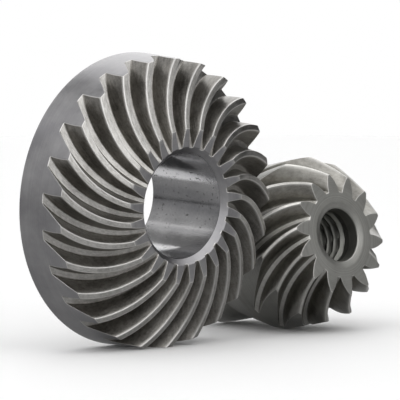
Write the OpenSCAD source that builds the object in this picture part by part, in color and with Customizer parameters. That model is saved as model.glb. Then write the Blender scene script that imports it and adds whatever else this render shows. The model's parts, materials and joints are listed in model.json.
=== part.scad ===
// Spiral bevel gear pair: a bored ring gear and a threaded pinion, lying side by side.
// Millimetres, +Z up, floor at z = 0, origin under the middle of the pair.
// Each gear is turned as a blank about its own axis, with z = 0 of that axis at the pitch apex,
// and every tooth space is then milled out along the arc of a face-mill cutter.

/* [Teeth] */
// Teeth on the ring gear
ring_teeth = 25; // [20:1:30]
// Teeth on the pinion
pinion_teeth = 14; // [12:1:16]
// Module at the ring gear's outer pitch circle
module_mm = 1.5; // [1.4:0.05:1.55]
// Angle between the two shafts when the pair is in mesh, degrees
shaft_angle = 95; // [90:1:98]
// Normal pressure angle, degrees
pressure_angle = 22.5; // [20:0.5:25]
// Radius of the cutter's arc
cutter_r = 13.9; // [13.5:0.1:14.5]
// Distance from the pitch apex to the cutter's centre
cutter_centre = 15.9; // [15.5:0.1:16.5]
// Cone distance at which the tooth phase is measured
mean_cone = 15.9; // [15:0.1:17]
// Ring gear tooth thickness as a share of the pitch
ring_tooth_share = 0.38; // [0.34:0.01:0.44]
// Backlash at the outer pitch circle
backlash = 0.1; // [0.05:0.01:0.2]

/* [Ring Gear] */
// Bore radius
ring_bore_r = 7; // [6:0.1:7.3]
// Bore chamfer at the toothed face
ring_chamfer = 0.8; // [0.5:0.1:1]
// Radius at which the tooth tips meet the flat front face
ring_toe_r = 10.2; // [9.8:0.1:11]
// Axial length of the smooth rim behind the crown
ring_rim_l = 8; // [7:0.5:10]
// Taper of the rim, degrees
ring_taper = 2.3; // [1:0.1:3]
// Radius of the rear boss
ring_boss_r = 12; // [10:0.5:14]
// Length of the rear boss
ring_boss_l = 2.4; // [1:0.1:4]

/* [Pinion] */
// Distance from the pitch apex to the flat toe face
pinion_toe = 11.4; // [11:0.1:12]
// Radius of the toothed cylinder
pinion_r = 11.3; // [11:0.1:11.6]
// Length from the toe face to the end of the toothed cylinder
pinion_head_l = 11.8; // [11.5:0.1:12.5]
// Length from the toe face to the hub
pinion_neck_l = 17.4; // [15:0.1:18]
// Hub radius
pinion_hub_r = 8.9; // [8:0.1:9.2]
// Overall length
pinion_l = 24.1; // [22:0.1:30]
// Core radius of the internal thread
thread_core_r = 3.324; // [3.2:0.001:3.5]
// Radius of the plain entry in front of the thread
entry_r = 3.6; // [3.5:0.1:4]
// Length of the plain entry
entry_l = 2; // [1:0.1:4]
// Radius of the shallow countersink at the toe face
mouth_r = 4.5; // [4.1:0.1:4.8]
// Depth of the shallow countersink
mouth_depth = 0.2; // [0.1:0.05:0.6]

/* [Layout] */
// Distance between the two gear axes, seen from above
pair_gap = 30.7; // [30.7:0.1:40]
// How far the pinion's toe face stands ahead of the ring gear's crown
pinion_ahead = 2; // [-4:0.1:2.2]
// Turn of the ring gear about its axis, degrees
ring_turn = 187.2; // [0:0.1:360]
// Turn of the pinion about its axis, degrees
pinion_turn = 215.4; // [0:0.1:360]

/* [Hidden] */
$fn = 128;
steel_ring = [0.42, 0.41, 0.40];
steel_pinion = [0.36, 0.36, 0.35];

// Pitch cones
pinion_pitch = atan2(sin(shaft_angle), ring_teeth / pinion_teeth + cos(shaft_angle));
ring_pitch = shaft_angle - pinion_pitch;
outer_cone = module_mm * ring_teeth / 2 / sin(ring_pitch);

// Usual proportions of spiral bevel teeth, in modules: the ring gear's addendum, as a base and a
// gain divided by the equivalent ratio, the working depth and the whole depth
add_base = 0.46;
add_gain = 0.39;
working_depth = 1.7;
whole_depth = 1.888;

// Tooth heights at the outer cone distance; they shrink in proportion towards the apex
ratio_90 = ring_teeth * cos(pinion_pitch) / (pinion_teeth * cos(ring_pitch));
ring_add = (add_base + add_gain / ratio_90) * module_mm;
pinion_add = working_depth * module_mm - ring_add;
ring_ded = whole_depth * module_mm - ring_add;
pinion_ded = whole_depth * module_mm - pinion_add;

// Face and root cones
ring_face = ring_pitch + atan(pinion_ded / outer_cone);
pinion_face = pinion_pitch + atan(ring_ded / outer_cone);

// Widths of the tooth spaces on the outer pitch circle
pitch_w = PI * module_mm;
ring_space = pitch_w * (1 - ring_tooth_share);
pinion_space = pitch_w * ring_tooth_share + backlash;

// Edge breaks on the rear corners
rim_edge = 0.5;
boss_edge = 0.3;
bore_edge = 0.5;
hub_edge = 0.4;
thread_edge = 0.8;

// Face-mill cutter: steps along its arc, levels up a flank as shares of the tooth's height, and
// how far its flanks and its crest stand above the tooth
cutter_steps = 10;
cutter_levels = [0, 0.3, 0.62, 1];
cutter_over = 0.35;
cutter_crest = 0.8;

// Cone distances between which each gear's cutters run, clear of the blank at both ends
ring_cut = [7.6, 23.6];
pinion_cut = [12, 26.4];

// Ring gear stations along its axis
crown_r = module_mm * ring_teeth / 2 + ring_add * cos(ring_pitch);
crown_z = -outer_cone * cos(ring_pitch) + ring_add * sin(ring_pitch);
front_z = crown_z + (crown_r - ring_toe_r) / tan(ring_face);
rim_z = crown_z - ring_rim_l;
rim_r = crown_r + (ring_rim_l - rim_edge) * tan(ring_taper);
boss_z = rim_z - ring_boss_l;

// Transverse pressure angle at the mean spiral angle
mean_spiral = asin((mean_cone * mean_cone + cutter_r * cutter_r - cutter_centre * cutter_centre)
    / (2 * mean_cone * cutter_r));
transverse = atan(tan(pressure_angle) / cos(mean_spiral));

// Where the two gears touch the floor
ring_height = crown_r * cos(ring_taper);
pinion_tilt = atan((pinion_r - pinion_hub_r) / (pinion_l - hub_edge - pinion_head_l));
pinion_height = pinion_r * cos(pinion_tilt) + pinion_head_l * sin(pinion_tilt);

// Middle of the pair in plan, brought to the origin: the ring gear's front face reaches furthest
// forward and the pinion's hub furthest back
front_x = (front_z - crown_z) * cos(ring_taper) + ring_toe_r * sin(ring_taper);
hub_x = pinion_ahead - pinion_l * cos(pinion_tilt) - (pinion_hub_r - hub_edge) * sin(pinion_tilt);
mid_x = (front_x + hub_x) / 2;
mid_y = (pair_gap + pinion_r - rim_r) / 2;

// Involute function, in degrees
function inv(a) = tan(a) * 180 / PI - a;

// Polar angle of the cutter's arc on the crown plane at cone distance c
function arc_angle(c) = acos((c * c + cutter_centre * cutter_centre - cutter_r * cutter_r)
    / (2 * c * cutter_centre));

// Turn of the tooth trace at cone distance c on a gear with the given pitch angle
function trace(c, pitch) = (arc_angle(c) - arc_angle(mean_cone)) / sin(pitch);

// Half angle of a tooth space, h above the pitch cone at cone distance c
function half_space(c, h, pitch, space) =
    let (rv = c * tan(pitch), cosa = min(1, rv * cos(transverse) / (rv + h)))
    space * c / outer_cone / 2 / (c * sin(pitch)) * 180 / PI
        + (inv(acos(cosa)) - inv(transverse)) / cos(pitch);

// Point on the flank of a tooth space; side is -1 or 1
function flank(c, h, side, pitch, space, hand) =
    let (r = c * sin(pitch) + h * cos(pitch),
        a = hand * trace(c, pitch) + side * half_space(c, h, pitch, space))
    [r * cos(a), r * sin(a), h * sin(pitch) - c * cos(pitch)];

// Cutter for one tooth space, swept between two cone distances
module tooth_space(cut, pitch, space, add, ded, hand) {
    n = cutter_steps;
    top = len(cutter_levels) - 1;
    m = 2 * top + 3;
    rows = [for (i = [0:n])
        let (c = cut[0] + (cut[1] - cut[0]) * i / n,
            low = -ded * c / outer_cone,
            high = add * c / outer_cone + cutter_over,
            heights = [for (level = cutter_levels) low + (high - low) * level])
        concat(
            [for (h = heights) flank(c, h, 1, pitch, space, hand)],
            [flank(c, high + cutter_crest, 0, pitch, space, hand)],
            [for (j = [top:-1:0]) flank(c, heights[j], -1, pitch, space, hand)])];
    polyhedron(
        points = [for (row = rows) each row],
        faces = concat(
            [[for (j = [0:m - 1]) j]],
            [for (i = [0:n - 1], j = [0:m - 1]) let (k = (j + 1) % m)
                [i * m + j, (i + 1) * m + j, (i + 1) * m + k]],
            [for (i = [0:n - 1], j = [0:m - 1]) let (k = (j + 1) % m)
                [i * m + j, (i + 1) * m + k, i * m + k]],
            [[for (j = [m - 1:-1:0]) n * m + j]]));
}

// Ring gear blank, turned about its own axis
module ring_blank() {
    rotate_extrude()
        polygon([
            [ring_bore_r, boss_z + bore_edge],
            [ring_bore_r + bore_edge, boss_z],
            [ring_boss_r - boss_edge, boss_z],
            [ring_boss_r, boss_z + boss_edge],
            [ring_boss_r, rim_z],
            [rim_r - rim_edge, rim_z],
            [rim_r, rim_z + rim_edge],
            [crown_r, crown_z],
            [ring_toe_r, front_z],
            [ring_bore_r + ring_chamfer, front_z],
            [ring_bore_r, front_z - ring_chamfer]
        ]);
}

// Pinion blank, turned about its own axis
module pinion_blank() {
    toe_tip = pinion_toe * tan(pinion_face);
    tip_z = -pinion_r / tan(pinion_face);
    rear_z = -pinion_toe - pinion_l;
    entry_z = -pinion_toe - mouth_depth;
    rotate_extrude()
        polygon([
            [thread_core_r, rear_z + thread_edge],
            [thread_core_r + thread_edge, rear_z],
            [pinion_hub_r - hub_edge, rear_z],
            [pinion_hub_r, rear_z + hub_edge],
            [pinion_hub_r, -pinion_toe - pinion_neck_l],
            [pinion_r, -pinion_toe - pinion_head_l],
            [pinion_r, tip_z],
            [toe_tip, -pinion_toe],
            [mouth_r, -pinion_toe],
            [entry_r, entry_z],
            [entry_r, entry_z - entry_l],
            [thread_core_r, entry_z - entry_l - (entry_r - thread_core_r)]
        ]);
}

module ring_gear() {
    color(steel_ring)
        translate([-mid_x - crown_z * cos(ring_taper), -mid_y, ring_height + crown_z * sin(ring_taper)])
        rotate([0, 90 + ring_taper, 0])
        rotate([0, 0, ring_turn])
        difference() {
            ring_blank();
            for (i = [0:ring_teeth - 1])
                rotate([0, 0, (i + 0.5) * 360 / ring_teeth])
                    tooth_space(ring_cut, ring_pitch, ring_space, ring_add, ring_ded, 1);
        }
}

module pinion() {
    color(steel_pinion)
        translate([pinion_ahead - mid_x, pair_gap - mid_y, pinion_height])
        rotate([0, 90 - pinion_tilt, 0])
        rotate([0, 0, pinion_turn])
        translate([0, 0, pinion_toe])
        difference() {
            pinion_blank();
            for (i = [0:pinion_teeth - 1])
                rotate([0, 0, (i + 0.5) * 360 / pinion_teeth])
                    tooth_space(pinion_cut, pinion_pitch, pinion_space, pinion_add, pinion_ded, -1);
        }
}

ring_gear();
pinion();
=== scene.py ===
import json
from math import asin, atan, atan2, cos, pi, radians, sin, tan

import bpy
import numpy as np
from mathutils import Matrix, Vector


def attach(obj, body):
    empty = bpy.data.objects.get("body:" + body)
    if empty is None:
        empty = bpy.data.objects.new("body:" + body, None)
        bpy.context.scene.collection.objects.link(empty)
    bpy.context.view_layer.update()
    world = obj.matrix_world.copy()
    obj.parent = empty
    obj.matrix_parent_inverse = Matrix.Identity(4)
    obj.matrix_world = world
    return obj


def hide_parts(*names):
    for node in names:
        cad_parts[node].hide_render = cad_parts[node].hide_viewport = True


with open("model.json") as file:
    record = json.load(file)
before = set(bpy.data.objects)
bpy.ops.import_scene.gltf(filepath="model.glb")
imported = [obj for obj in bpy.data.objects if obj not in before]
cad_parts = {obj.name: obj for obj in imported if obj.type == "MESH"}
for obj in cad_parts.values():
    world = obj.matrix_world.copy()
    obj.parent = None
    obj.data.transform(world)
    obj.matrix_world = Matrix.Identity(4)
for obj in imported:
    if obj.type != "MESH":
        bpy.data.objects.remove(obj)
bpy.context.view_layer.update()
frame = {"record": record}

MM = 0.001
MOUNTS = {mount["name"]: mount for mount in frame["record"]["mounts"]}

# Teeth, as in the CAD design
RING_TEETH = 25
PINION_TEETH = 14
MODULE = 1.5
SHAFT_ANGLE = radians(95)
PRESSURE_ANGLE = radians(22.5)
CUTTER_R = 13.9
CUTTER_CENTRE = 15.9
MEAN_CONE = 15.9
RING_TOOTH_SHARE = 0.38
BACKLASH = 0.1
ADD_BASE = 0.46
ADD_GAIN = 0.39
WORKING_DEPTH = 1.7
WHOLE_DEPTH = 1.888

# Ring gear
RING_BORE_R = MOUNTS["ring_bore"]["dims"]["r_mm"]
RING_CHAMFER = 0.8
RING_TOE_R = 10.2
RING_RIM_L = 8
RING_TAPER = radians(2.3)
RING_BOSS_R = 12
RING_BOSS_L = 2.4
RIM_EDGE = 0.5
BOSS_EDGE = 0.3
BORE_EDGE = 0.5
RING_TURN = radians(187.2)

# Pinion
PINION_TOE = 11.4
PINION_R = 11.3
PINION_HEAD_L = 11.8
PINION_NECK_L = 17.4
PINION_HUB_R = 8.9
PINION_L = 24.1
HUB_EDGE = 0.4
PINION_TURN = radians(215.4)
THREAD_CORE_R = MOUNTS["pinion_thread"]["dims"]["r_mm"]
THREAD_MAJOR_R = 4
THREAD_PITCH = 1.25
THREAD_EDGE = 0.8
THREAD_LEAD = 0.3
THREAD_SLOPE = 1.7
ENTRY_R = 3.6
ENTRY_L = 2
MOUTH_R = 4.5
MOUTH_DEPTH = 0.2

# Roundings
TIP_ROUND = 0.12
ROOT_ROUND = 0.22
EDGE_BREAK = 0.07
CORNER_ROUND = 0.12
HEAD_ROUND = 0.4
NECK_ROUND = 1.5
ENTRY_ROUND = 0.25
MOUTH_ROUND = 0.4
SHARP_ANGLE = radians(32)

# Mesh density: points on a tooth's outline, rows along it, and columns round the bores
ROOT_STEPS = 5
FLANK_POINTS = 6
TIP_STEPS = 3
CORNER_STEPS = 4
TOOTH_ROWS = 28
THREAD_ROWS = 12
BISECTIONS = 40
RING_BORE_COLUMNS = 180
PINION_BORE_COLUMNS = 112

# Cone distances between which the tooth columns leave the blanks
RING_CONES = (7.6, 23.6)
PINION_CONES = (12, 26.4)

# Stations where the side's columns are evenly spaced, and where the rear profile starts
RING_SIDE_Z = (-12.8, -14)
PINION_SIDE_Z = (-22.6, -22.8)

# Radii of the two rings that join the outside to the inside, on the rear faces and on the
# pinion's toe face, and their depths in the ring gear's chamfer
RING_REAR_SEAM = (9.8, 9.2)
PINION_REAR_SEAM = (6.8, 6.2)
PINION_TOE_SEAM = (5.55, 5.1)
CHAMFER_SEAM = (0.3, 0.45)
WALL_TOLERANCE = 0.01

# Material indices of a gear mesh
TURNED, FLANK, LAND, BORE = range(4)

# What the steels share: colours, the range of noise that spans from dark to light, the shift of
# roughness over the mottle, and the relief of the surface in metres
PIT_COLOUR = (0.05, 0.045, 0.04, 1)
WORN_COLOUR = (0.88, 0.87, 0.85, 1)
TONE_RANGE = (0.34, 0.66)
PIT_RANGE = (0.33, 0.27)
MOTTLE_RANGE = (0.7, 1.3)
ROUGHNESS_SHIFT = (-0.06, 0.08)
RELIEF = 0.00006

# Noise frequencies, per millimetre
BLOTCH_SCALE = 0.22
GRIT_SCALE = 3.2
PIT_SCALE = 2.6

# How far the lines of each way run on, as a stretch of the noise along them
MILLED_ALONG = 0.6
TURNED_DRIFT = 0.05
AXIAL_ALONG = 0.05

# Half widths of the bore's brighter stripe, a painted reflection in the bore, outside and inside its
# soft edge, and its share
PAINTED_REFLECTION_EDGES = (radians(16), radians(5))
PAINTED_REFLECTION_SHARE = 0.35

# Wear of the toe face's rim
TOE_WEAR = 0.7

STAGE_ROUGHNESS = 0.9

# Pitch cones and tooth heights at the outer cone distance
PINION_PITCH = atan2(sin(SHAFT_ANGLE), RING_TEETH / PINION_TEETH + cos(SHAFT_ANGLE))
RING_PITCH = SHAFT_ANGLE - PINION_PITCH
OUTER_CONE = MODULE * RING_TEETH / 2 / sin(RING_PITCH)
RATIO_90 = RING_TEETH * cos(PINION_PITCH) / (PINION_TEETH * cos(RING_PITCH))
RING_ADD = (ADD_BASE + ADD_GAIN / RATIO_90) * MODULE
PINION_ADD = WORKING_DEPTH * MODULE - RING_ADD
RING_DED = WHOLE_DEPTH * MODULE - RING_ADD
PINION_DED = WHOLE_DEPTH * MODULE - PINION_ADD
RING_FACE = RING_PITCH + atan(PINION_DED / OUTER_CONE)
PINION_FACE = PINION_PITCH + atan(RING_DED / OUTER_CONE)

# Stations of the blanks along their own axes
CROWN_R = MODULE * RING_TEETH / 2 + RING_ADD * cos(RING_PITCH)
CROWN_Z = -OUTER_CONE * cos(RING_PITCH) + RING_ADD * sin(RING_PITCH)
FRONT_Z = CROWN_Z + (CROWN_R - RING_TOE_R) / tan(RING_FACE)
RIM_Z = CROWN_Z - RING_RIM_L
BOSS_Z = RIM_Z - RING_BOSS_L
PINION_REAR_Z = -PINION_TOE - PINION_L
ENTRY_Z = -PINION_TOE - MOUTH_DEPTH
THREAD_FRONT_Z = ENTRY_Z - ENTRY_L - (ENTRY_R - THREAD_CORE_R)
THREAD_REAR_Z = PINION_REAR_Z + THREAD_EDGE

MEAN_SPIRAL = asin((MEAN_CONE**2 + CUTTER_R**2 - CUTTER_CENTRE**2) / (2 * MEAN_CONE * CUTTER_R))
TRANSVERSE = atan(tan(PRESSURE_ANGLE) / cos(MEAN_SPIRAL))


def involute(angle):
    return np.tan(angle) - angle


def arc_angle(cone):
    """Polar angle of the cutter's arc on the crown plane, at a cone distance."""
    return np.arccos((cone**2 + CUTTER_CENTRE**2 - CUTTER_R**2) / (2 * cone * CUTTER_CENTRE))


def unit(vectors):
    return vectors / np.linalg.norm(vectors, axis=-1, keepdims=True)


def pair(first, second):
    """Two coordinates, broadcast together, as points of a plane."""
    return np.stack(np.broadcast_arrays(first, second), axis=-1)


def fillet(corner, before, after, radius, steps):
    """Points on the arc that is tangent to two unit directions leaving a corner."""
    radius = np.asarray(radius, float)[..., None]
    half = np.arccos(np.sum(before * after, axis=-1))[..., None] / 2
    centre = corner + (before + after) / (2 * np.cos(half)) * radius / np.sin(half)
    start = corner + before * radius / np.tan(half) - centre
    end = corner + after * radius / np.tan(half) - centre
    sweep = pi - 2 * half
    shares = np.linspace(0, 1, steps + 1)
    return [
        centre + (np.sin((1 - share) * sweep) * start + np.sin(share * sweep) * end) / np.sin(sweep)
        for share in shares]


def cartesian(r, angle, z):
    """Points from radii, angles and heights, broadcast together."""
    return np.stack(np.broadcast_arrays(r * np.cos(angle), r * np.sin(angle), z), axis=-1)


class Gear:
    """The teeth of one gear.

    space is the tooth space on the outer pitch circle and ded the depth below it. tip_line is the
    face cone's line, as a radius, a height and an angle. face_z(r) and side_r(z) are the blank's
    toe and heel surfaces, and cones the cone distances between which the teeth leave it.
    """

    def __init__(self, teeth, pitch, space, ded, hand, tip_line, face_z, side_r, cones):
        self.teeth = teeth
        self.pitch = pitch
        self.space = space
        self.ded = ded
        self.hand = hand
        self.tip_line = tip_line
        self.face_z = face_z
        self.side_r = side_r
        self.cones = cones

    def trace(self, cone):
        """Turn of the tooth's middle line at a cone distance."""
        return self.hand * (arc_angle(cone) - arc_angle(MEAN_CONE)) / sin(self.pitch)

    def half_tooth(self, cone, height):
        """Half the tooth's thickness, in mm along the pitch circle at that cone distance."""
        back = cone * tan(self.pitch)
        cosine = np.minimum(1, back * cos(TRANSVERSE) / (back + height))
        opening = (involute(np.arccos(cosine)) - involute(TRANSVERSE)) / cos(self.pitch)
        circle = cone * sin(self.pitch)
        return circle * (pi / self.teeth - opening) - self.space * cone / OUTER_CONE / 2

    def tip_height(self, cone):
        """Height of the face cone above the pitch cone."""
        r, z, angle = self.tip_line
        reach = r + z * tan(angle) + cone * (cos(self.pitch) * tan(angle) - sin(self.pitch))
        return reach / (cos(self.pitch) + sin(self.pitch) * tan(angle))

    def section(self, cone):
        """Outline from the middle of one space over the tooth to the middle of the next."""
        scale = cone / OUTER_CONE
        tip = self.tip_height(cone)
        root = -self.ded * scale
        step = 0.02

        def flank(height):
            return pair(self.half_tooth(cone, height), height)

        sideways = np.array([1.0, 0.0])
        upward = unit(flank(root + step) - flank(root))
        downward = unit(flank(tip - step) - flank(tip))
        root_arc = fillet(flank(root), sideways, upward, ROOT_ROUND * scale, ROOT_STEPS)
        tip_arc = fillet(flank(tip), downward, -sideways, TIP_ROUND * scale, TIP_STEPS)
        low, high = root_arc[-1][..., 1], tip_arc[0][..., 1]
        shares = np.arange(1, FLANK_POINTS + 1) / (FLANK_POINTS + 1)
        root_middle = pair(cone * sin(self.pitch) * pi / self.teeth, root)
        tip_middle = pair(0 * tip, tip)
        half = [root_middle, (root_middle + root_arc[0]) / 2, *root_arc]
        half += [flank(low + (high - low) * share) for share in shares]
        half += [*tip_arc, (tip_arc[-1] + tip_middle) / 2]
        mirror = np.array([-1.0, 1.0])
        outline = [point * mirror for point in half] + [tip_middle] + half[::-1]
        return np.stack(outline, axis=-2)

    def point(self, cone, outline):
        """Radius, angle and z of outline points at their cone distances."""
        x, height = outline[..., 0], outline[..., 1]
        circle = cone * sin(self.pitch)
        r = circle + height * cos(self.pitch)
        return r, self.trace(cone) + x / circle, height * sin(self.pitch) - cone * cos(self.pitch)

    def columns_at(self, cone):
        """The outline's own point for each column, where cone's last axis runs over the columns."""
        outline = self.section(cone)
        column = np.arange(cone.shape[-1])
        return self.point(cone, outline[..., column, column, :])

    def cut(self, outside, far_cone):
        """Cone distance where each column leaves the blank, between MEAN_CONE and far_cone."""
        count = self.section(np.array(MEAN_CONE)).shape[0]
        inner, outer = np.full(count, MEAN_CONE), np.full(count, float(far_cone))
        for _ in range(BISECTIONS):
            middle = (inner + outer) / 2
            r, _, z = self.columns_at(middle)
            beyond = outside(r, z) > 0
            inner, outer = np.where(beyond, inner, middle), np.where(beyond, middle, outer)
        return inner

    def around(self, r, angle, z):
        """Repeats one tooth's rows of columns round the gear, without the shared last column."""
        turns = np.arange(self.teeth)[:, None] * 2 * pi / self.teeth
        rows = len(r)
        every = (angle[:, None, :-1] + turns).reshape(rows, -1)
        return np.tile(r[:, :-1], self.teeth), every, np.tile(z[:, :-1], self.teeth)


class Patch:
    """Rows of points that close into rings, with a material for each face.

    Each point also has its wear, from 0 to 1, and its trace: the way across the tooth and the cone
    distance, in mm.
    """

    def __init__(self):
        self.rows = []
        self.wear = []
        self.trace = []
        self.bands = []

    def add(self, points, material, wear=0.0, trace=None):
        """Adds rows; material is for the faces between each row and the row before it."""
        if points.ndim == 2:
            points = points[None]
        count = points.shape[1]
        for index, row in enumerate(points):
            self.rows.append(row)
            self.wear.append(np.broadcast_to(wear, count))
            self.trace.append(np.zeros((count, 2)) if trace is None else trace[index])
            self.bands.append(np.broadcast_to(material, count))
        return self


class GearMesh:
    """Joins patches, and the rings between them, into one closed mesh."""

    def __init__(self):
        self.points = []
        self.wear = []
        self.trace = []
        self.faces = []
        self.materials = []

    def add(self, patch):
        """Adds a patch and returns the vertex indices of its first and last rings."""
        rows, count = len(patch.rows), len(patch.rows[0])
        first = sum(len(points) for points in self.points)
        self.points.append(np.concatenate(patch.rows))
        self.wear.append(np.concatenate(patch.wear))
        self.trace.append(np.concatenate(patch.trace))
        index = first + np.arange(rows * count).reshape(rows, count)
        after = np.roll(index, -1, axis=1)
        quads = np.stack([index[:-1], after[:-1], after[1:], index[1:]], axis=-1)
        self.faces += quads.reshape(-1, 4).tolist()
        self.materials += np.concatenate(patch.bands[1:]).tolist()
        return index[0], index[-1]

    def join(self, ring_a, ring_b, material):
        """Triangles between two rings round the axis that have different numbers of points."""
        points = np.concatenate(self.points)

        def sorted_ring(ring):
            angle = np.arctan2(points[ring, 1], points[ring, 0])
            order = np.argsort(angle)
            return ring[order].tolist(), angle[order].tolist()

        (a, angle_a), (b, angle_b) = sorted_ring(ring_a), sorted_ring(ring_b)
        a, b = a + a[:1], b + b[:1]
        angle_a, angle_b = angle_a + [angle_a[0] + 2 * pi], angle_b + [angle_b[0] + 2 * pi]
        i = j = 0
        while i < len(a) - 1 or j < len(b) - 1:
            if j == len(b) - 1 or (i < len(a) - 1 and angle_a[i + 1] <= angle_b[j + 1]):
                self.faces.append([a[i], a[i + 1], b[j]])
                i += 1
            else:
                self.faces.append([a[i], b[j + 1], b[j]])
                j += 1
            self.materials.append(material)

    def build(self, name, matrix, materials):
        """The Blender object, set in the row frame by matrix, with its shading attributes."""
        local = np.concatenate(self.points)
        mesh = bpy.data.meshes.new(name)
        mesh.from_pydata((local * MM).tolist(), [], self.faces)
        mesh.transform(matrix)
        for material in materials:
            mesh.materials.append(material)
        mesh.polygons.foreach_set("material_index", self.materials)
        mesh.polygons.foreach_set("use_smooth", [True] * len(mesh.polygons))
        trace_and_wear = np.column_stack([np.concatenate(self.trace), np.concatenate(self.wear)])
        for layer, values in {"gear_mm": local, "trace_mm": trace_and_wear}.items():
            attribute = mesh.attributes.new(layer, "FLOAT_VECTOR", "POINT")
            attribute.data.foreach_set("vector", values.astype(np.float32).ravel())
        mesh.validate()
        mesh.set_sharp_from_angle(angle=SHARP_ANGLE)
        obj = bpy.data.objects.new(name, mesh)
        bpy.context.scene.collection.objects.link(obj)
        weighted = obj.modifiers.new("flat_faces", "WEIGHTED_NORMAL")
        weighted.keep_sharp = True
        return obj


def blend_rows(start, end, shares):
    """Rows at the given shares of the way from one ring's coordinates to another's."""
    return start + (end - start) * np.asarray(shares)[:, None]


def rounded_edge(before, edge, after):
    """Two rows on a curve from one ring to another that rounds off the edge between them."""
    shares = np.array([0.3, 0.7])[:, None, None]
    return before * (1 - shares) ** 2 + edge * 2 * shares * (1 - shares) + after * shares**2


def soft_profile(points, radius=CORNER_ROUND):
    """A lathe profile with its inner corners rounded; a point may give its own radius third."""
    corners = [np.array(point[:2], float) for point in points]
    rounded = [corners[0]]
    for index in range(1, len(corners) - 1):
        before = unit(corners[index - 1] - corners[index])
        after = unit(corners[index + 1] - corners[index])
        own = points[index][2] if len(points[index]) > 2 else radius
        rounded += fillet(corners[index], before, after, own, CORNER_STEPS)
    return np.array(rounded + [corners[-1]])


def lathe(profile, angles):
    """Rings of a turned profile of (radius, z) points at the given angles."""
    return cartesian(profile[:, :1], angles[None, :], profile[:, 1:])


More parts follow.
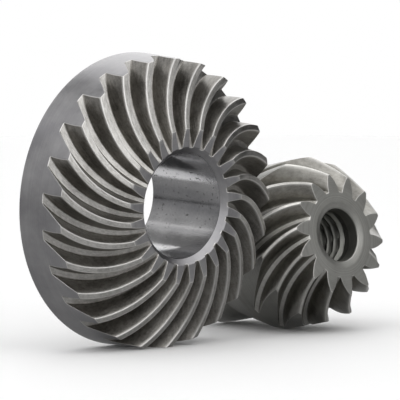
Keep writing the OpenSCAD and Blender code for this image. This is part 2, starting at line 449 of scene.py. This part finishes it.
def toothed_patch(gear, inner_rings, heel_z, rear_profile):
    """The outside of a gear, from inside its toe face over the teeth to its rear face.

    inner_rings are the toe face's radii inside the teeth, from the outside in. The side's columns
    are evenly spaced from heel_z on.
    """
    toe_cone = gear.cut(lambda r, z: z - gear.face_z(r), gear.cones[0])
    heel_cone = gear.cut(lambda r, z: r - gear.side_r(z), gear.cones[1])
    count = len(toe_cone)
    columns = np.arange(count)
    half = count // 2

    # Tooth surfaces, from just inside the toe edge to just inside the heel edge
    inset = EDGE_BREAK / (heel_cone - toe_cone)
    shares = inset + (1 - 2 * inset) * np.linspace(0, 1, TOOTH_ROWS)[:, None]
    cone = toe_cone + (heel_cone - toe_cone) * shares
    rows = np.vstack([toe_cone, cone, heel_cone])
    r, angle, z = gear.around(*gear.columns_at(rows))
    points = cartesian(r, angle, z)
    toe_edge, teeth, heel_edge = points[0], points[1:-1], points[-1]

    # Position across the tooth, the same on both flanks, and along it
    outline = gear.section(np.array(MEAN_CONE))
    steps = np.linalg.norm(np.diff(outline[: half + 1], axis=0), axis=1)
    rise = np.concatenate([[0], np.cumsum(steps)])
    across = np.concatenate([rise, rise[-2::-1]])
    trace = np.stack(np.broadcast_arrays(across, cone), axis=-1)[:, :-1]
    trace = np.tile(trace, (1, gear.teeth, 1))

    # Toe ring on the face, moved away from the edge, and the way in from it
    along = np.roll(toe_edge, -1, axis=0) - np.roll(toe_edge, 1, axis=0)
    inward = unit(np.column_stack([-along[:, 1], along[:, 0]]))
    toe_xy = toe_edge[:, :2] + EDGE_BREAK * inward
    toe_r = np.hypot(*toe_xy.T)
    toe_angle = angle[0] + np.arctan2(
        toe_edge[:, 0] * toe_xy[:, 1] - toe_edge[:, 1] * toe_xy[:, 0],
        np.sum(toe_edge[:, :2] * toe_xy, axis=1))
    toe_ring = cartesian(toe_r, toe_angle, gear.face_z(toe_r))

    def even_angles(edge_angles):
        """Evenly spaced columns round the gear, centred on each tooth at its root."""
        middle = (edge_angles[2] + edge_angles[count - 3]) / 2
        every = middle + (columns[:-1] / (count - 1) - 0.5) * 2 * pi / gear.teeth
        turns = np.arange(gear.teeth)[:, None] * 2 * pi / gear.teeth
        return (every + turns).ravel()

    face_angles = even_angles(angle[0])
    least_width = 0.03
    face_r = np.minimum(inner_rings[0], toe_r - least_width)
    face_way = np.array([1, 0.66, 0.33])
    face_rows_r = blend_rows(toe_r, face_r, face_way)
    face_rows_angle = blend_rows(toe_angle, face_angles, face_way)
    face_rows = cartesian(face_rows_r, face_rows_angle, gear.face_z(face_rows_r))

    # Heel ring on the side, moved away from the edge, and the way back from it
    around = np.roll(angle[-1], -1) - np.roll(angle[-1], 1)
    around = (around + pi) % (2 * pi) - pi
    rise_z = np.roll(z[-1], -1) - np.roll(z[-1], 1)
    side = unit(np.column_stack([rise_z, -around * r[-1]]))
    heel_z_ring = z[-1] + EDGE_BREAK * side[:, 1]
    heel_angle = angle[-1] + EDGE_BREAK * side[:, 0] / r[-1]
    heel_ring = cartesian(gear.side_r(heel_z_ring), heel_angle, heel_z_ring)
    side_angles = even_angles(angle[-1])
    side_way = np.array([0.15, 0.4, 0.7, 1])
    side_rows_z = blend_rows(heel_z_ring, np.full_like(heel_z_ring, heel_z), side_way)
    side_rows_angle = blend_rows(heel_angle, side_angles, side_way)
    side_rows = cartesian(gear.side_r(side_rows_z), side_rows_angle, side_rows_z)

    # Lands in the middle of the root and of the tip, and flanks between them, by column
    flat = 2
    land = (columns[:-1] < flat) | (columns[:-1] >= count - 1 - flat)
    land |= abs(columns[:-1] + 0.5 - half) < flat
    tooth_material = np.tile(np.where(land, LAND, FLANK), gear.teeth)
    corner = flat + ROOT_STEPS + 1 + FLANK_POINTS
    tip_wear = np.where((columns >= corner) & (columns <= corner + TIP_STEPS), 1.0, 0.0)
    tip_wear = np.maximum(tip_wear, tip_wear[::-1])
    tooth_wear = np.tile(tip_wear[:-1], gear.teeth)

    patch = Patch()
    for ring_r in inner_rings[:0:-1]:
        patch.add(cartesian(ring_r, face_angles, gear.face_z(ring_r)), TURNED)
    patch.add(face_rows, TURNED)
    patch.add(toe_ring, TURNED, TOE_WEAR)
    patch.add(rounded_edge(toe_ring, toe_edge, teeth[0]), tooth_material, 1.0)
    patch.add(teeth, tooth_material, tooth_wear, trace)
    patch.add(rounded_edge(teeth[-1], heel_edge, heel_ring), tooth_material, 1.0)
    patch.add(heel_ring, TURNED)
    patch.add(side_rows, TURNED)
    patch.add(lathe(rear_profile, side_angles), TURNED)
    return patch


def ring_face_z(r):
    """The ring gear's front face, running into the bore's chamfer."""
    return FRONT_Z - np.maximum(0, RING_BORE_R + RING_CHAMFER - r)


def ring_side_r(z):
    return CROWN_R + (CROWN_Z - z) * tan(RING_TAPER)


def pinion_face_z(r):
    return np.full_like(np.asarray(r, float), -PINION_TOE)


def pinion_side_r(z):
    return np.full_like(np.asarray(z, float), PINION_R)


def closed_gear(outside, inside):
    """One closed mesh from a gear's outside and inside, joined on its rear and toe faces."""
    mesh = GearMesh()
    outside_toe, outside_rear = mesh.add(outside)
    inside_rear, inside_toe = mesh.add(inside)
    mesh.join(outside_rear, inside_rear, TURNED)
    mesh.join(outside_toe, inside_toe, TURNED)
    return mesh


def ring_gear_mesh():
    """The ring gear: toothed outside, tapered rim, rear boss and polished bore."""
    gear = Gear(
        RING_TEETH, RING_PITCH, pi * MODULE * (1 - RING_TOOTH_SHARE), RING_DED, 1,
        (CROWN_R, CROWN_Z, RING_FACE), ring_face_z, ring_side_r, RING_CONES)
    even_z, rear_start_z = RING_SIDE_Z
    rim_r = ring_side_r(RIM_Z + RIM_EDGE)
    rear = soft_profile([
        (ring_side_r(rear_start_z), rear_start_z),
        (rim_r, RIM_Z + RIM_EDGE),
        (rim_r - RIM_EDGE, RIM_Z),
        (RING_BOSS_R, RIM_Z),
        (RING_BOSS_R, BOSS_Z + BOSS_EDGE),
        (RING_BOSS_R - BOSS_EDGE, BOSS_Z),
        (RING_REAR_SEAM[0], BOSS_Z)])
    edge_r = RING_BORE_R + RING_CHAMFER
    outside = toothed_patch(gear, [edge_r, edge_r - CHAMFER_SEAM[0]], even_z, rear)
    bore = soft_profile([
        (RING_REAR_SEAM[1], BOSS_Z),
        (RING_BORE_R + BORE_EDGE, BOSS_Z),
        (RING_BORE_R, BOSS_Z + BORE_EDGE),
        (RING_BORE_R, FRONT_Z - RING_CHAMFER),
        (edge_r - CHAMFER_SEAM[1], FRONT_Z - CHAMFER_SEAM[1])])
    angles = np.arange(RING_BORE_COLUMNS) * 2 * pi / RING_BORE_COLUMNS
    on_wall = bore[:, 0] < RING_BORE_R + WALL_TOLERANCE
    inside = Patch()
    for ring, wall in zip(lathe(bore, angles), on_wall):
        inside.add(ring, BORE if wall else TURNED)
    return closed_gear(outside, inside)


def thread_wall(angles):
    """Rings of the tapped bore, from the rear chamfer to the smooth entry behind the mouth."""
    start = ENTRY_Z - ENTRY_L
    rows = int((start - THREAD_REAR_Z) / THREAD_PITCH * THREAD_ROWS)
    z = np.linspace(THREAD_REAR_Z, start, rows)[:, None]
    phase = (z / THREAD_PITCH - angles[None, :] / (2 * pi)) % 1
    ridge = np.clip(THREAD_SLOPE * (4 * abs(phase - 0.5) - 1), -1, 1)
    fade = np.clip((start - z) / THREAD_PITCH, 0, 1)
    fade = fade * np.clip((z - THREAD_REAR_Z) / THREAD_PITCH, 0, 1)
    middle = (THREAD_CORE_R + THREAD_MAJOR_R) / 2
    depth = (THREAD_MAJOR_R - THREAD_CORE_R) / 2
    r = ENTRY_R + (middle + depth * ridge - ENTRY_R) * fade
    return cartesian(r, angles[None, :], z)


def pinion_mesh():
    """The pinion: toothed head, reverse cone, hub and tapped bore."""
    gear = Gear(
        PINION_TEETH, PINION_PITCH, pi * MODULE * RING_TOOTH_SHARE + BACKLASH, PINION_DED, -1,
        (0, 0, PINION_FACE), pinion_face_z, pinion_side_r, PINION_CONES)
    even_z, rear_start_z = PINION_SIDE_Z
    rear = soft_profile([
        (PINION_R, rear_start_z),
        (PINION_R, -PINION_TOE - PINION_HEAD_L, HEAD_ROUND),
        (PINION_HUB_R, -PINION_TOE - PINION_NECK_L, NECK_ROUND),
        (PINION_HUB_R, PINION_REAR_Z + HUB_EDGE),
        (PINION_HUB_R - HUB_EDGE, PINION_REAR_Z),
        (PINION_REAR_SEAM[0], PINION_REAR_Z)])
    outside = toothed_patch(gear, [PINION_TOE_SEAM[0]], even_z, rear)
    angles = np.arange(PINION_BORE_COLUMNS) * 2 * pi / PINION_BORE_COLUMNS
    back = soft_profile([
        (PINION_REAR_SEAM[1], PINION_REAR_Z),
        (ENTRY_R + THREAD_EDGE, PINION_REAR_Z),
        (ENTRY_R, PINION_REAR_Z + THREAD_EDGE)])
    mouth = soft_profile([
        (ENTRY_R, ENTRY_Z - ENTRY_L + THREAD_LEAD),
        (ENTRY_R, ENTRY_Z, ENTRY_ROUND),
        (MOUTH_R, -PINION_TOE, MOUTH_ROUND),
        (PINION_TOE_SEAM[1], -PINION_TOE)])
    inside = Patch()
    inside.add(lathe(back[:-1], angles), TURNED)
    inside.add(thread_wall(angles), BORE)
    inside.add(lathe(mouth[:1], angles), BORE)
    inside.add(lathe(mouth[1:], angles), TURNED)
    return closed_gear(outside, inside)


def gear_matrix(mount, local_z, direction, turn):
    """Places a gear by a mount that lies on its axis at local_z, and turns it about that axis."""
    axis = Vector(MOUNTS[mount]["axis"]) * direction
    apex = Vector(MOUNTS[mount]["pos_m"]) - axis * local_z * MM
    tilt = Matrix.Rotation(atan2(axis.x, axis.z), 4, "Y")
    return Matrix.Translation(apex) @ tilt @ Matrix.Rotation(turn, 4, "Z")


# ---------------------------------------------------------------- materials
class Nodes:
    """A material's node tree, with short calls for what the steels share."""

    def __init__(self, name):
        self.material = bpy.data.materials.new(name)
        self.material.use_nodes = True
        self.tree = self.material.node_tree
        self.shader = self.tree.nodes["Principled BSDF"]

    def add(self, kind, inputs=(), **settings):
        made = self.tree.nodes.new(kind)
        for key, value in settings.items():
            setattr(made, key, value)
        for socket, value in dict(inputs).items():
            self.feed(made.inputs[socket], value)
        return made

    def feed(self, socket, value):
        """Links a socket to another node's output, or sets it to a value."""
        if isinstance(value, bpy.types.NodeSocket):
            self.tree.links.new(value, socket)
        else:
            socket.default_value = value

    def math(self, operation, *values):
        return self.add("ShaderNodeMath", enumerate(values), operation=operation).outputs[0]

    def plus(self, first, second):
        return self.math("ADD", first, second)

    def times(self, first, second):
        return self.math("MULTIPLY", first, second)

    def vector_math(self, operation, first, second):
        return self.add("ShaderNodeVectorMath", {0: first, 1: second}, operation=operation).outputs[0]

    def attribute(self, name):
        return self.add("ShaderNodeAttribute", attribute_name=name).outputs["Vector"]

    def split(self, vector):
        return self.add("ShaderNodeSeparateXYZ", {0: vector}).outputs[0:3]

    def join(self, x, y, z):
        return self.add("ShaderNodeCombineXYZ", {0: x, 1: y, 2: z}).outputs[0]

    def noise(self, vector, scale, detail, roughness):
        inputs = {"Vector": vector, "Scale": scale, "Detail": detail, "Roughness": roughness}
        return self.add("ShaderNodeTexNoise", inputs).outputs["Fac"]

    def spread(self, value, span, to_span=(0.0, 1.0)):
        """The value's place in one span, clamped, carried over to another span."""
        inputs = {
            "Value": value, "From Min": span[0], "From Max": span[1],
            "To Min": to_span[0], "To Max": to_span[1]}
        return self.add("ShaderNodeMapRange", inputs).outputs["Result"]

    def mix(self, share, first, second):
        made = self.add("ShaderNodeMix", data_type="RGBA")
        for socket, value in (("Factor_Float", share), ("A_Color", first), ("B_Color", second)):
            self.feed(next(item for item in made.inputs if item.identifier == socket), value)
        return next(item for item in made.outputs if item.identifier == "Result_Color")


def machining_lines(nodes, way, density, place, trace):
    """Coordinates in which a plain noise gives fine lines, density of them in a millimetre."""
    x, y, z = nodes.split(place)
    across, cone, _ = nodes.split(trace)
    if way == "milled":
        along = nodes.join(nodes.times(across, density), nodes.times(cone, MILLED_ALONG), 0.0)
        return nodes.vector_math("ADD", along, place)
    if way == "turned":
        squares = nodes.plus(nodes.times(x, x), nodes.times(y, y))
        radius = nodes.times(nodes.math("SQRT", squares), density)
        return nodes.join(radius, nodes.times(z, density), nodes.times(nodes.plus(x, y), TURNED_DRIFT))
    return nodes.vector_math("MULTIPLY", place, (density, density, AXIAL_ALONG * density))


def painted_reflection_stripe(nodes, place, angle):
    """1 along a stripe of the ring gear's bore at that gear angle, and 0 away from it: the mask of a
    painted reflection.
    """
    x, y, _ = nodes.split(place)
    reach = nodes.plus(nodes.times(x, cos(angle)), nodes.times(y, sin(angle)))
    return nodes.spread(reach, [RING_BORE_R * cos(edge) for edge in PAINTED_REFLECTION_EDGES])


def steel(
        name, dark, light, rough, lines, bump, depth=0.45, speckle=0.3, pitting=0.0, edge=0.7,
        painted_reflection_angle=None):
    """Machined steel with fine lines, blotches, grit, pits and worn edges.

    lines gives the way the lines run ("turned", "milled" or "axial") and how many fit in a
    millimetre; depth is their share of the tone, and edge the brightness of worn edges. The last
    argument is the gear angle of a stripe of the bore that is painted brighter in colour: a painted
    reflection.
    """
    nodes = Nodes(name)
    place = nodes.attribute("gear_mm")
    trace = nodes.attribute("trace_mm")
    wear = nodes.split(trace)[2]
    line_place = machining_lines(nodes, *lines, place, trace)
    streaks = nodes.noise(line_place, scale=1.0, detail=2.0, roughness=0.5)
    blotches = nodes.noise(place, BLOTCH_SCALE, detail=3.0, roughness=0.6)
    grit = nodes.noise(place, GRIT_SCALE, detail=4.0, roughness=0.7)
    pits = nodes.spread(nodes.noise(place, PIT_SCALE, detail=1.0, roughness=0.4), PIT_RANGE)

    tone = nodes.plus(nodes.times(streaks, depth), nodes.times(blotches, 1 - depth))
    tone = nodes.plus(tone, nodes.times(nodes.math("SUBTRACT", grit, 0.5), speckle))
    # Painted reflection: a stripe of the bore is lightened in the base colour
    if painted_reflection_angle is not None:
        tone = nodes.plus(tone, nodes.times(painted_reflection_stripe(nodes, place, painted_reflection_angle), PAINTED_REFLECTION_SHARE))
    colour = nodes.mix(nodes.spread(tone, TONE_RANGE), (*dark, 1), (*light, 1))
    colour = nodes.mix(nodes.times(pits, pitting), colour, PIT_COLOUR)
    colour = nodes.mix(nodes.times(nodes.math("POWER", wear, 2.0), edge), colour, WORN_COLOUR)
    nodes.feed(nodes.shader.inputs["Base Color"], colour)

    nodes.shader.inputs["Metallic"].default_value = 1.0
    roughness = nodes.spread(
        nodes.plus(blotches, grit), MOTTLE_RANGE, [rough + shift for shift in ROUGHNESS_SHIFT])
    nodes.feed(nodes.shader.inputs["Roughness"], roughness)
    height = nodes.plus(streaks, nodes.times(grit, 0.5))
    height = nodes.math("SUBTRACT", height, nodes.times(pits, 2 * pitting))
    relief = nodes.add("ShaderNodeBump", {"Height": height, "Strength": bump, "Distance": RELIEF})
    nodes.feed(nodes.shader.inputs["Normal"], relief.outputs[0])
    return nodes.material


def plain_stage(name, grey, glow):
    """A matt grey for the floors and cards, which may also glow."""
    nodes = Nodes(name)
    nodes.shader.inputs["Base Color"].default_value = (grey, grey, grey, 1)
    nodes.shader.inputs["Roughness"].default_value = STAGE_ROUGHNESS
    nodes.shader.inputs["Emission Color"].default_value = (1, 1, 1, 1)
    nodes.shader.inputs["Emission Strength"].default_value = glow
    return nodes.material


# In the order of the material indices
RING_STEELS = {
    "ring_turned": dict(
        dark=(0.31, 0.305, 0.317), light=(0.43, 0.424, 0.432), rough=0.34,
        lines=("turned", 6.0), bump=0.15, depth=0.2, speckle=0.2),
    "ring_flank": dict(
        dark=(0.18, 0.172, 0.16), light=(0.37, 0.355, 0.33), rough=0.38,
        lines=("milled", 3.0), bump=0.4, speckle=0.5),
    "ring_land": dict(
        dark=(0.38, 0.37, 0.35), light=(0.68, 0.665, 0.64), rough=0.34,
        lines=("milled", 5.0), bump=0.4, speckle=0.4),
    "ring_bore": dict(
        dark=(0.25, 0.25, 0.26), light=(0.56, 0.555, 0.56), rough=0.17,
        lines=("axial", 0.3), bump=0.15, depth=0.8, speckle=0.15, pitting=0.6,
        # The bore's brighter stripe at this gear angle is a painted reflection
        painted_reflection_angle=radians(38) - RING_TURN),
}
PINION_STEELS = {
    "pinion_turned": dict(
        dark=(0.29, 0.288, 0.27), light=(0.42, 0.417, 0.395), rough=0.38,
        lines=("turned", 7.0), bump=0.25, speckle=0.15, edge=0.2),
    "pinion_flank": dict(
        dark=(0.22, 0.212, 0.195), light=(0.43, 0.42, 0.39), rough=0.33,
        lines=("milled", 2.0), bump=0.2, depth=0.35, edge=0.4),
    "pinion_land": dict(
        dark=(0.54, 0.53, 0.50), light=(0.78, 0.77, 0.73), rough=0.36,
        lines=("milled", 4.0), bump=0.25, depth=0.3, edge=0.4),
    "pinion_bore": dict(
        dark=(0.175, 0.175, 0.16), light=(0.275, 0.275, 0.255), rough=0.42,
        lines=("turned", 2.0), bump=0.1, speckle=0.2),
}
ring_materials = [steel(name, **look) for name, look in RING_STEELS.items()]
pinion_materials = [steel(name, **look) for name, look in PINION_STEELS.items()]

# ---------------------------------------------------------------- pieces
ring_bore_z = (FRONT_Z - RING_CHAMFER + BOSS_Z + BORE_EDGE) / 2
ring_matrix = gear_matrix("ring_bore", ring_bore_z, 1, RING_TURN)
ring_gear = ring_gear_mesh().build("spiral_ring_gear", ring_matrix, ring_materials)
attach(ring_gear, "ring")
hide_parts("ring_gear")

thread_z = (THREAD_FRONT_Z + THREAD_REAR_Z) / 2
pinion_matrix = gear_matrix("pinion_thread", thread_z, -1, PINION_TURN)
pinion = pinion_mesh().build("spiral_pinion", pinion_matrix, pinion_materials)
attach(pinion, "pinion")
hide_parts("pinion")

# ---------------------------------------------------------------- stage
scene = bpy.context.scene
scene.view_settings.view_transform = "Standard"

# The camera sees the pale floor. The steel mirrors a dimmer one, as the photographed pair does,
# and its bore mirrors two small cards behind the ring gear.
# Grey, glow, centre, reach and height in mm, and whether the camera sees it
FLOORS = {
    "pale_floor": (0.97, 0.0, (0, 0), (450, 450), 0, True),
    "reflected_floor": (0.33, 0.0, (0, 0), (1120, 1120), -1, False),
    "bright_card": (0.95, 0.55, (-26, -18), (8, 6), -0.5, False),
    # The near-black card is painted shade: seen only in reflections, it puts shade into what the top
    # of the ring gear's bore mirrors
    "dark_card": (0.03, 0.0, (-24, -2), (12, 10), -0.5, False),
}
FLOOR_CORNERS = 96
FLOOR_ANGLES = [2 * pi * index / FLOOR_CORNERS for index in range(FLOOR_CORNERS)]

for name, (grey, glow, centre, reach, height, seen_by_camera) in FLOORS.items():
    rim = [
        Vector((centre[0] + reach[0] * cos(angle), centre[1] + reach[1] * sin(angle), height)) * MM
        for angle in FLOOR_ANGLES]
    mesh = bpy.data.meshes.new(name)
    mesh.from_pydata(rim, [], [range(FLOOR_CORNERS)])
    mesh.materials.append(plain_stage(name, grey, glow))
    floor = bpy.data.objects.new(name, mesh)
    floor.visible_camera = seen_by_camera
    floor.visible_diffuse = not seen_by_camera
    floor.visible_glossy = not seen_by_camera
    floor.visible_shadow = False
    scene.collection.objects.link(floor)

# The same white behind everything, which adds no light
world = bpy.data.worlds.new("studio")
world.use_nodes = True
world.node_tree.nodes["Background"].inputs["Color"].default_value = (1, 1, 1, 1)
world.node_tree.nodes["Background"].inputs["Strength"].default_value = 1.0
world.cycles_visibility.diffuse = False
world.cycles_visibility.glossy = False
scene.world = world

# The camera aims just beside the ring gear's crown centre
crown_centre = ring_matrix @ Vector((0, 0, CROWN_Z * MM))
AIM_OFFSET = Vector((3.03, 3.08, 0.49)) * MM
CAMERA_AZIMUTH = radians(45.456)
CAMERA_ELEVATION = radians(4.2)
CAMERA_DISTANCE = 656.4 * MM
SENSOR_WIDTH = 36
FOCAL_LENGTH = 450
CLIP_START = 0.01
aim = crown_centre + AIM_OFFSET
back = Vector((
    sin(CAMERA_AZIMUTH) * cos(CAMERA_ELEVATION),
    -cos(CAMERA_AZIMUTH) * cos(CAMERA_ELEVATION),
    sin(CAMERA_ELEVATION)))
camera_data = bpy.data.cameras.new("camera")
camera_data.sensor_width = SENSOR_WIDTH
camera_data.lens = FOCAL_LENGTH
camera_data.clip_start = CLIP_START
camera = bpy.data.objects.new("camera", camera_data)
camera.location = aim + back * CAMERA_DISTANCE
camera.rotation_euler = (-back).to_track_quat("-Z", "Y").to_euler()
scene.collection.objects.link(camera)
scene.camera = camera

# Square soft panels all round, with sizes in metres. Brightness at each elevation in degrees, from
# the camera's side round by its right hand; a panel's power is its brightness times pi times its area
PANELS = {
    20: (1.3, 1.5, 0.5, 0, 1.5, 1.2, 0.5, 1.6),
    55: (0.8, 1, 0.8, 0.8, 1, 0.2, 0.7, 1.2),
    90: (0.6,),
}
PANEL_DISTANCE = 1.2
PANEL_SIZE = 0.8

for elevation, brightness_row in PANELS.items():
    for index, brightness in enumerate(brightness_row):
        azimuth = CAMERA_AZIMUTH + 2 * pi * index / len(brightness_row)
        rise = radians(elevation)
        towards = Vector((sin(azimuth) * cos(rise), -cos(azimuth) * cos(rise), sin(rise)))
        data = bpy.data.lights.new(f"panel_{elevation}_{index}", "AREA")
        data.shape = "SQUARE"
        data.size = PANEL_SIZE
        data.energy = brightness * pi * PANEL_SIZE**2
        panel = bpy.data.objects.new(data.name, data)
        panel.location = aim + towards * PANEL_DISTANCE
        panel.rotation_euler = towards.to_track_quat("Z", "Y").to_euler()
        panel.visible_camera = False
        scene.collection.objects.link(panel)
